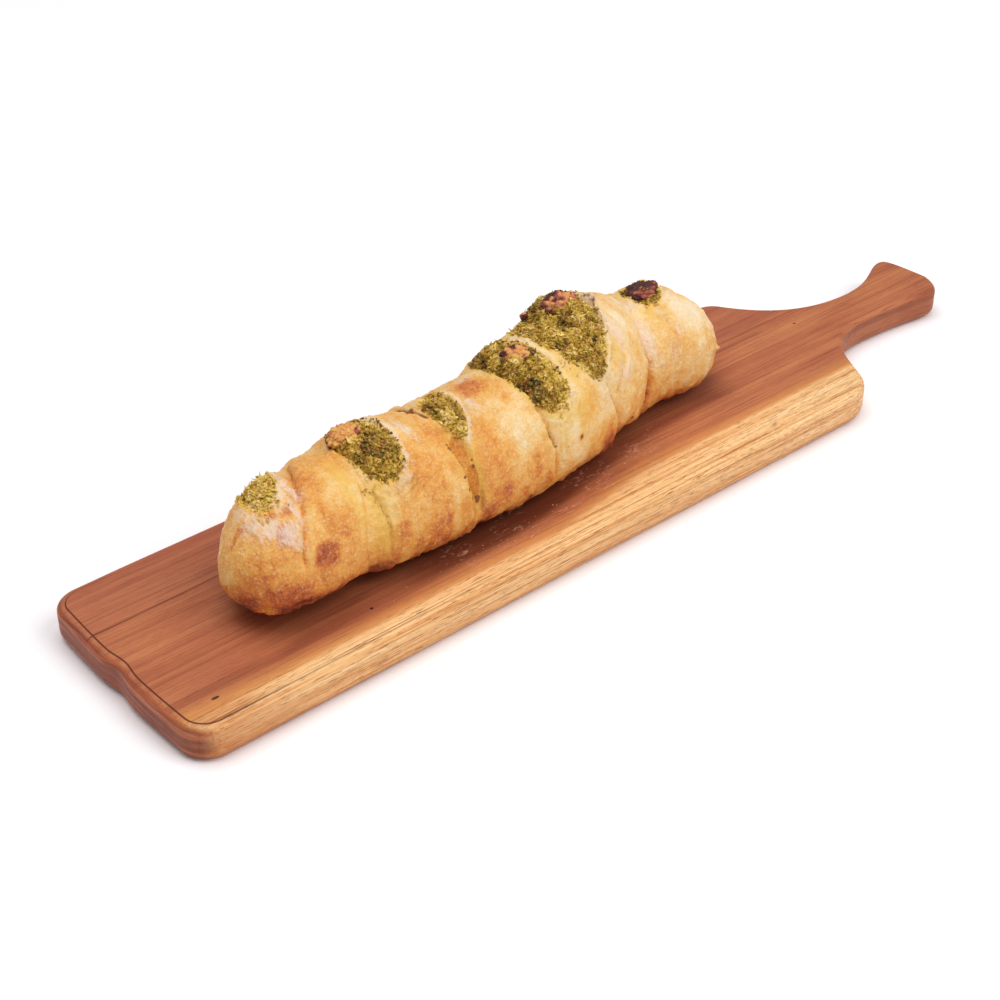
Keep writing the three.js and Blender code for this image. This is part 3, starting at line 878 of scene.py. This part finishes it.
def build_board():
    near, far = board_side(-1, NEAR_SIDE), board_side(1, FAR_SIDE)
    outline = np.concatenate([near, far[::-1][1:-1]])
    along = np.roll(outline, -1, axis=0) - np.roll(outline, 1, axis=0)
    inward = unit(np.stack([-along[:, 1], along[:, 0]], -1))
    x, y = outline.T
    across_end = 1 - smoothstep(16, 45, x)
    along_near_edge = (1 - smoothstep(40, 260, x)) * smoothstep(0, -30, y)
    ledge = LEDGE * np.maximum(across_end, along_near_edge)
    rings, ledge_shade = [], []
    for inset, height, share in board_profile():
        drop = ledge * share * smoothstep(BOARD_THICKNESS - TOP_ROUND, BOARD_THICKNESS, height)
        rings.append(np.column_stack([outline + inward * inset, height - drop]))
        # The rings just inside the ledge carry the mask of the painted shade line along the step.
        shows = 1.0 if TOP_ROUND + 0.3 < inset < TOP_ROUND + 1.0 else 0.0
        ledge_shade.append(shows * ledge / LEDGE)
    count = len(outline)
    index, faces = ring_faces(len(rings), count)
    # The strip round the edge is unrolled in two rows, one for each side of the board.
    step = np.linalg.norm(np.roll(outline, -1, axis=0) - outline, axis=1)
    run = np.concatenate([[0], np.cumsum(step)])
    split = len(near) - 1
    on_near = np.arange(count) < split
    low, high = np.where(on_near, run[0], run[split]), np.where(on_near, run[split], run[-1])
    u = (run[:-1] - low) / (high - low)
    next_u = (run[1:] - low) / (high - low)
    row = 0.05 * np.arange(len(rings)) / (len(rings) - 1)
    v = np.where(on_near, 0.88, 0.945) + row[:, None]
    strip = face_uvs((u, v[:-1]), (next_u, v[:-1]), (next_u, v[1:]), (u, v[1:]))
    top, bottom = index[-1], index[0][::-1]
    faces += [top.tolist(), bottom.tolist()]
    points = np.concatenate(rings)

    def cap_uv(order, base):
        along, across = points[order, 0], points[order, 1]
        v = base + 0.42 * (across / BOARD_WIDTH + 0.5)
        return np.stack([(along + 2) / (BOARD_LENGTH + 8), v], -1)

    uvs = np.concatenate([strip, cap_uv(top, 0.0), cap_uv(bottom, 0.44)])
    obj = new_mesh("paddle_board", to_row(points), faces, uvs)
    for polygon in obj.data.polygons[-2:]:
        polygon.use_smooth = False
    set_mask(obj, "edge", np.concatenate(ledge_shade))
    return obj


def build_crumbs():
    """Flakes of crust and flour that have fallen on the board in front of the loaf."""
    scattered, gathered = 30, 30
    many = scattered + gathered
    flake = OCTAHEDRON.copy()
    flake[-1, 2] = -0.6
    x = np.concatenate([rng.uniform(110, 330, scattered), rng.normal(215, 35, gathered)])
    middle = middle_at((x - LOAF_START) / (LOAF_END - LOAF_START))
    y = np.maximum(middle - 36 - np.abs(rng.normal(2, 7, many)), -57)
    size = np.exp(rng.normal(-1.3, 0.35, many))
    turn = rng.uniform(0, 2 * np.pi, many)
    shape = flake[None] * (1 + rng.uniform(-0.35, 0.35, (many, 6, 1)))
    cos, sin = np.cos(turn)[:, None], np.sin(turn)[:, None]
    turned = [shape[..., 0] * cos - shape[..., 1] * sin, shape[..., 0] * sin + shape[..., 1] * cos]
    local = np.stack([*turned, shape[..., 2] * 0.35], -1) * size[:, None, None]
    centre = np.stack([x, y, BOARD_THICKNESS - local[..., 2].min(axis=1)], -1)
    faces = (OCTAHEDRON_FACES[None] + 6 * np.arange(many)[:, None, None]).reshape(-1, 3)
    return new_mesh("crumbs", to_row((centre[:, None] + local).reshape(-1, 3)), faces, smooth=False)


# ---- Materials ----------------------------------------------------------------------------------


def rgb(red, green, blue):
    """A colour from 0 to 255 in sRGB, as the linear colour that a node takes."""

    def linear(value):
        value /= 255
        return value / 12.92 if value <= 0.04045 else ((value + 0.055) / 1.055) ** 2.4

    return (linear(red), linear(green), linear(blue), 1.0)


class Shader:
    """A node material under construction. Each method adds nodes and returns an output."""

    def __init__(self, name):
        self.material = bpy.data.materials.new(name)
        self.material.use_nodes = True
        self.tree = self.material.node_tree
        self.surface = self.tree.nodes["Principled BSDF"]
        self.place = self.add("ShaderNodeTexCoord").outputs["Object"]

    def add(self, kind, **settings):
        node = self.tree.nodes.new(kind)
        for key, value in settings.items():
            setattr(node, key, value)
        return node

    def put(self, socket, value):
        if isinstance(value, bpy.types.NodeSocket):
            self.tree.links.new(value, socket)
        else:
            socket.default_value = value

    def set(self, **values):
        for key, value in values.items():
            self.put(self.surface.inputs[key.replace("_", " ")], value)

    def mask(self, name):
        return self.add("ShaderNodeAttribute", attribute_name=name).outputs["Fac"]

    def math(self, operation, *values):
        node = self.add("ShaderNodeMath", operation=operation)
        for socket, value in zip(node.inputs, values):
            self.put(socket, value)
        return node.outputs[0]

    def plus(self, *terms):
        return reduce(lambda a, b: self.math("ADD", a, b), terms)

    def minus(self, a, b):
        return self.math("SUBTRACT", a, b)

    def times(self, *factors):
        return reduce(lambda a, b: self.math("MULTIPLY", a, b), factors)

    def away(self, a, b):
        """How far apart two values are."""
        return self.math("ABSOLUTE", self.minus(a, b))

    def spread(self, value, width):
        """A value from 0 to 1 made `width` wide and centred on 0."""
        return self.math("MULTIPLY_ADD", value, width, -width / 2)

    def scaled(self, x, y, z):
        node = self.add("ShaderNodeVectorMath", operation="MULTIPLY")
        self.put(node.inputs[0], self.place)
        node.inputs[1].default_value = (x, y, z)
        return node.outputs[0]

    def noise(self, scale, detail=3.0, roughness=0.55, vector=None, distortion=0.0):
        node = self.add("ShaderNodeTexNoise")
        self.put(node.inputs["Vector"], vector or self.place)
        self.put(node.inputs["Scale"], scale)
        self.put(node.inputs["Detail"], detail)
        self.put(node.inputs["Roughness"], roughness)
        self.put(node.inputs["Distortion"], distortion)
        return node.outputs["Fac"]

    def cells(self, scale, vector=None):
        node = self.add("ShaderNodeTexVoronoi")
        self.put(node.inputs["Vector"], vector or self.place)
        self.put(node.inputs["Scale"], scale)
        return node.outputs["Distance"]

    def between(self, value, low, high, to_low=0.0, to_high=1.0):
        node = self.add("ShaderNodeMapRange", interpolation_type="SMOOTHSTEP")
        for socket, number in zip(node.inputs, (value, low, high, to_low, to_high)):
            self.put(socket, number)
        return node.outputs[0]

    def ramp(self, value, stops):
        """A colour for each value, from rows of position, red, green and blue."""
        node = self.add("ShaderNodeValToRGB")
        self.put(node.inputs[0], value)
        elements = node.color_ramp.elements
        while len(elements) < len(stops):
            elements.new(0.5)
        for element, (position, *colour) in zip(elements, stops):
            element.position = position
            element.color = rgb(*colour)
        return node.outputs[0]

    def mix(self, share, a, b):
        node = self.add("ShaderNodeMix", data_type="RGBA")
        for socket, value in zip((node.inputs[0], node.inputs[6], node.inputs[7]), (share, a, b)):
            self.put(socket, value)
        return node.outputs[2]

    def over(self, under, colour, *shares):
        """A colour laid over another one, as strongly as the product of the shares."""
        return self.mix(self.times(*shares), under, colour)

    def bump(self, height, distance, strength=1.0):
        node = self.add("ShaderNodeBump")
        self.put(node.inputs["Strength"], strength)
        self.put(node.inputs["Distance"], distance)
        self.put(node.inputs["Height"], height)
        self.put(self.surface.inputs["Normal"], node.outputs[0])


def crust_material():
    m = Shader("baked_crust")
    mottle = m.noise(210, 5, 0.6)
    speckle = m.noise(1100, 4, 0.65)
    grain = m.noise(3000, 2)
    blisters = m.cells(440)
    baked_and_crease_shade, stained, floury = m.mask("bake_and_crease_shade"), m.mask("stain"), m.mask("flour")
    # The baking mask also carries the painted shade in the folds' creases.
    bake_and_crease_shade = m.plus(baked_and_crease_shade, m.spread(mottle, 0.6), m.spread(speckle, 0.66), m.spread(grain, 0.42))
    colour = m.ramp(
        bake_and_crease_shade,
        [
            (0.0, 254, 230, 192), (0.2, 250, 212, 148), (0.4, 243, 182, 94),
            (0.56, 232, 154, 66), (0.72, 212, 118, 54), (0.86, 178, 84, 44),
            (1.0, 140, 62, 36),
        ],
    )
    # Pale blister tops: partly the blisters' own paler crust, partly painted highlight.
    pale = m.times(m.between(blisters, 0.5, 0.12), m.between(mottle, 0.36, 0.54))
    colour = m.over(colour, rgb(252, 220, 162), pale, m.between(baked_and_crease_shade, 0.95, 0.6, 0.12, 0.36))
    yellow = m.ramp(speckle, [(0.3, 234, 178, 58), (0.7, 252, 216, 106)])
    amber = m.ramp(speckle, [(0.35, 190, 104, 26), (0.65, 230, 156, 50)])
    yellow = m.over(yellow, amber, m.between(stained, 0.84, 1.04))
    colour = m.over(colour, yellow, stained, m.between(mottle, 0.2, 0.62, 0.45, 1.0), 0.88)
    streak = m.noise(900, 4, 0.7, vector=m.scaled(1.0, 0.3, 0.3), distortion=0.6)
    flour = m.between(m.plus(floury, m.spread(streak, 1.9)), 0.3, 0.95)
    colour = m.over(colour, rgb(250, 222, 200), flour, 0.8)
    scorch = m.between(m.plus(m.mask("scorch"), m.spread(speckle, 0.5)), 0.25, 0.7)
    colour = m.over(colour, rgb(118, 44, 14), scorch, 0.85)
    dull = m.plus(mottle, m.times(flour, 0.5))
    m.set(Base_Color=colour, Roughness=m.between(dull, 0.3, 1.1, 0.38, 0.85), Specular_IOR_Level=0.42)
    height = m.plus(
        m.times(speckle, 0.5),
        m.times(m.between(blisters, 0.5, 0.0), 0.3),
        m.times(grain, 0.35),
        m.times(streak, m.between(floury, 0.0, 0.7, 0.25, 0.9)),
    )
    m.bump(height, 0.0009)
    return m.material


def herb_material():
    m = Shader("chopped_herbs")
    fine = m.noise(1700, 3)
    hue = m.noise(330, 2)
    tone = m.plus(m.mask("tone"), m.spread(fine, 0.5))
    green = m.ramp(
        tone,
        [
            (0.0, 58, 42, 12), (0.25, 120, 94, 22), (0.5, 176, 144, 38),
            (0.75, 220, 184, 62), (1.0, 246, 216, 112),
        ],
    )
    ochre = m.ramp(
        tone,
        [
            (0.0, 62, 34, 12), (0.25, 146, 98, 26), (0.5, 194, 140, 44),
            (0.75, 222, 178, 82), (1.0, 244, 216, 146),
        ],
    )
    colour = m.over(green, ochre, m.between(hue, 0.42, 0.62))
    bits = m.noise(560, 1)
    colour = m.over(colour, rgb(126, 78, 56), m.between(bits, 0.62, 0.67, 0.0, 0.6))
    colour = m.over(colour, rgb(246, 214, 122), m.between(bits, 0.36, 0.31, 0.0, 0.45))
    colour = m.over(colour, rgb(84, 36, 24), m.mask("char"), m.between(fine, 0.3, 0.55))
    m.set(Base_Color=colour, Roughness=m.between(fine, 0.3, 0.7, 0.38, 0.7), Specular_IOR_Level=0.45)
    m.bump(fine, 0.0004)
    return m.material


def lump_material():
    m = Shader("browned_lump")
    fine = m.noise(1300, 4)
    broad = m.noise(300, 3)
    colour = m.ramp(
        m.plus(m.mask("char"), m.spread(fine, 0.5), m.spread(broad, 0.3)),
        [
            (0.0, 240, 190, 96), (0.3, 222, 146, 82), (0.52, 182, 100, 78),
            (0.75, 118, 50, 40), (1.0, 72, 32, 32),
        ],
    )
    m.set(Base_Color=colour, Roughness=m.between(broad, 0.3, 0.7, 0.4, 0.7), Specular_IOR_Level=0.45)
    m.bump(fine, 0.0006)
    return m.material


def crumb_material():
    m = Shader("crumb_flakes")
    colour = m.ramp(m.noise(700, 2), [(0.35, 196, 122, 86), (0.65, 226, 164, 124)])
    m.set(Base_Color=colour, Roughness=0.8)
    return m.material


# Lines that run along the board: where across it, how far and how quickly they waver, and how wide.
SPLIT_LINE = dict(at=25.0, wobble=5.0, sway=12, width=0.8)
NEAR_LINE = dict(at=-57.2, wobble=3.0, sway=15, width=0.7)
# Small dark marks, a wormhole slot and two dots: place, and half length and half width.
MARKS = [(20.5, -45.4, 2.0, 0.8), (107, -40, 0.9, 0.8), (451, 12, 1.0, 0.7)]


class Wood(Shader):
    """The board's wood. Everything in it is drawn out along the board, and places are in millimetres."""

    def __init__(self):
        super().__init__("oiled_hardwood")
        place = self.add("ShaderNodeSeparateXYZ")
        self.put(place.inputs[0], self.place)
        self.x = self.math("MULTIPLY_ADD", place.outputs[0], 1 / MM, -float(ORIGIN[0]))
        self.y = self.times(place.outputs[1], 1 / MM)
        self.z = self.times(place.outputs[2], 1 / MM)
        self.fibre = self.drawn(14, 1300, 1300, 4, 0.65)
        self.streak = self.drawn(5, 240, 240, 3)
        self.pores = self.drawn(140, 2300, 2300, 1, 0.5)
        self.cloud = self.drawn(14, 40, 40, 3)
        contour = self.drawn(3.5, 330, 330, 1, 0.5)
        self.contours = self.between(self.away(contour, 0.5), 0.022, 0.004)

    def drawn(self, x, y, z, detail, roughness=0.55, distortion=0.0):
        """Noise with its own scale along each axis."""
        return self.noise(1.0, detail, roughness, self.scaled(x, y, z), distortion)

    def line(self, at, wobble, sway, width):
        """How near a place is to one wavering line that runs along the board."""
        middle = self.plus(at, self.spread(self.drawn(sway, 1, 1, 3), wobble))
        return self.between(self.away(self.y, middle), width, width / 3)

    def mark(self, at_x, at_y, long, wide):
        """One small oval mark."""
        far_x = self.math("DIVIDE", self.minus(self.x, at_x), long)
        far_y = self.math("DIVIDE", self.minus(self.y, at_y), wide)
        return self.between(self.plus(self.times(far_x, far_x), self.times(far_y, far_y)), 1.2, 0.7)

    def heartwood(self):
        colour = self.ramp(
            self.plus(self.times(self.streak, 0.55), self.times(self.cloud, 0.45)),
            [
                (0.32, 154, 82, 52), (0.45, 176, 100, 66), (0.57, 188, 114, 74),
                (0.7, 200, 128, 82),
            ],
        )
        colour = self.over(colour, rgb(166, 92, 72), self.between(self.y, 20, 30), 0.35)
        colour = self.over(colour, rgb(150, 78, 46), self.between(self.z, 15, 11), 0.4)
        colour = self.over(colour, rgb(116, 58, 36), self.between(self.fibre, 0.5, 0.34), 0.42)
        return self.over(colour, rgb(120, 60, 38), self.contours, 0.3)

    def sapwood(self):
        colour = self.ramp(
            self.plus(self.times(self.streak, 0.42), self.times(self.fibre, 0.58)),
            [(0.38, 208, 142, 82), (0.48, 234, 180, 118), (0.6, 248, 208, 154)],
        )
        flecks = self.between(self.drawn(300, 1500, 1500, 3, 0.7), 0.53, 0.6)
        flecks = self.times(flecks, self.between(self.cloud, 0.4, 0.6, 0.12, 0.4))
        low = self.times(self.between(self.z, 11, 3), self.between(self.streak, 0.4, 0.58))
        colour = self.over(colour, rgb(172, 96, 50), self.between(self.fibre, 0.44, 0.38, 0.0, 0.3))
        colour = self.over(colour, rgb(196, 116, 70), flecks)
        colour = self.over(colour, rgb(190, 116, 64), low, 0.7)
        some = self.between(self.fibre, 0.62, 0.4, 0.1, 0.5)
        colour = self.over(colour, rgb(170, 94, 40), self.contours, some)
        colour = self.over(colour, rgb(142, 72, 30), self.between(self.pores, 0.38, 0.33), 0.6)
        near_end = self.times(self.between(self.x, 70, 10), self.between(self.cloud, 0.3, 0.6, 0.2, 0.7))
        return self.over(colour, rgb(190, 110, 54), near_end)

    def end_grain(self):
        """The square end shows end grain in layers, darkest halfway down."""
        layers = self.drawn(60, 30, 520, 3, 0.6)
        colour = self.ramp(layers, [(0.36, 112, 50, 38), (0.5, 164, 82, 52), (0.64, 202, 116, 72)])
        halfway = self.times(self.between(self.z, 15, 11), self.between(self.z, 3, 7))
        return self.over(colour, rgb(108, 42, 38), halfway, 0.36)


def wood_material():
    m = Wood()
    x, y, z, fibre = m.x, m.y, m.z, m.fibre
    # The sapwood lies along the near edge, behind a golden band.
    border = m.plus(m.between(x, 200, 285, -50.5, -40.0), m.spread(m.drawn(9, 60, 9, 3), 7.0))
    inside = m.minus(y, border)
    golden = m.times(m.between(inside, 10.0, 0.0), m.between(fibre, 0.3, 0.6, 0.4, 0.85))
    heart = m.over(m.heartwood(), rgb(216, 146, 82), golden)
    ragged = m.plus(inside, m.spread(fibre, 9.0))
    colour = m.over(heart, m.sapwood(), m.between(ragged, 2.0, -3.0))
    split = m.times(m.between(x, 130, 40), m.between(fibre, 0.62, 0.5, 0.3, 1.0))
    colour = m.over(colour, rgb(96, 40, 22), m.line(**SPLIT_LINE), split, 0.85)
    # Painted shade: the wood under the loaf and close round it is darkened, standing in for the loaf's
    # shadow.
    off_middle = m.away(y, m.between(x, 180, 335, -3.0, 21.0))
    painted_loaf_shade = m.times(m.between(off_middle, 41.5, 34.5), m.between(x, 54, 76), m.between(x, 380, 350))
    depth = m.times(m.between(x, 112, 160, 0.26, 0.8), m.between(x, 220, 300, 1.0, 0.55))
    colour = m.over(colour, rgb(88, 26, 10), painted_loaf_shade, depth)
    colour = m.over(colour, rgb(146, 74, 28), m.line(**NEAR_LINE), m.between(fibre, 0.56, 0.42), 0.65)
    # The handle's sides are darkest just under the top edge.
    shade = m.times(m.between(z, 10.5, 13.5), m.between(z, 16.2, 14.8), m.between(x, 448, 462))
    colour = m.over(colour, rgb(116, 52, 34), shade, 0.5)
    facing = m.add("ShaderNodeSeparateXYZ")
    m.put(facing.inputs[0], m.add("ShaderNodeNewGeometry").outputs["Normal"])
    colour = m.over(colour, m.end_grain(), m.between(facing.outputs[0], -0.2, -0.75), 0.8)
    # The ledge's step is painted as a dark line of shade.
    colour = m.over(colour, rgb(92, 42, 20), m.mask("edge"), m.between(x, 20, 60, 0.9, 0.5))
    marks = m.plus(*(m.mark(*mark) for mark in MARKS))
    colour = m.over(colour, rgb(40, 18, 14), marks, m.between(z, 17, 17.9, 0.0, 0.9))
    # Pale scuffs where the loaf is cut.
    scuffed = m.times(
        m.between(x, 120, 180),
        m.between(x, 350, 260),
        m.between(y, -54, -46),
        m.between(y, -4, -20),
        m.between(m.noise(55, 2), 0.46, 0.58),
        m.between(m.drawn(260, 620, 620, 3, 0.7, 0.9), 0.55, 0.64),
    )
    colour = m.over(colour, rgb(226, 166, 140), scuffed, 0.6)
    m.set(Base_Color=colour, Roughness=m.between(fibre, 0.3, 0.7, 0.56, 0.42), Specular_IOR_Level=0.26)
    m.bump(m.plus(fibre, m.between(m.pores, 0.3, 0.4)), 0.0001)
    return m.material


# ---- The pieces ---------------------------------------------------------------------------------

crust = build_crust()
filling = build_filling()
lumps = build_lumps()
board = build_board()
crumbs = build_crumbs()
for piece, material, slot, node in [
    (crust, crust_material(), "bread_crust", "loaf"),
    (filling, herb_material(), "herb_filling", "loaf"),
    (lumps, lump_material(), "bread_crust", "loaf"),
    (board, wood_material(), "board_wood", "serving_board"),
    (crumbs, crumb_material(), "bread_crust", None),
]:
    piece.data.materials.append(material)
    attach(piece, "root")
    if node:
        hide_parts(node)

# ---- The floor, the lights and the camera -------------------------------------------------------


FLOOR_HALF = 6.0  # in metres, as all the sizes and places below
KEY_LIGHT = dict(place=(0.95, -2.1, 2.5), size=2.4, power=61)
TOP_LIGHT = dict(place=(-0.35, 0.5, 3.2), size=2.8, power=70)
SKY_COLOUR, SKY_STRENGTH = (1.0, 0.985, 0.97, 1), 0.28
CAMERA_PLACE = (-0.5662, -0.5655, 0.5028)
CAMERA_TILT, CAMERA_TURN = 56.854, -41.877  # degrees
CAMERA_LENS, CAMERA_SENSOR = 66.64, 36.0  # millimetres


def build_floor():
    corners = np.array([(-1, -1, 0), (1, -1, 0), (1, 1, 0), (-1, 1, 0)]) * FLOOR_HALF
    obj = new_mesh("floor", corners, [[0, 1, 2, 3]])
    shader = Shader("pale_floor")
    shader.set(Base_Color=rgb(254, 252, 254), Roughness=0.9, Specular_IOR_Level=0.1)
    obj.data.materials.append(shader.material)


def soft_light(name, place, size, power):
    """A square light that faces the part."""
    light = bpy.data.lights.new(name, "AREA")
    light.shape = "SQUARE"
    light.size = size
    light.energy = power
    obj = bpy.data.objects.new(name, light)
    obj.location = place
    obj.rotation_euler = (-Vector(place)).to_track_quat("-Z", "Y").to_euler()
    bpy.context.scene.collection.objects.link(obj)


build_floor()
soft_light("key", **KEY_LIGHT)
soft_light("top", **TOP_LIGHT)

scene = bpy.context.scene
world = bpy.data.worlds.new("studio")
world.use_nodes = True
background = world.node_tree.nodes["Background"]
background.inputs["Color"].default_value = SKY_COLOUR
background.inputs["Strength"].default_value = SKY_STRENGTH
scene.world = world
scene.view_settings.view_transform = "Standard"
scene.view_settings.look = "None"

camera_data = bpy.data.cameras.new("camera")
camera_data.lens = CAMERA_LENS
camera_data.sensor_width = CAMERA_SENSOR
camera_data.clip_start = 0.05
camera = bpy.data.objects.new("camera", camera_data)
camera.location = CAMERA_PLACE
camera.rotation_euler = Euler((math.radians(CAMERA_TILT), 0, math.radians(CAMERA_TURN)))
scene.collection.objects.link(camera)
scene.camera = camera
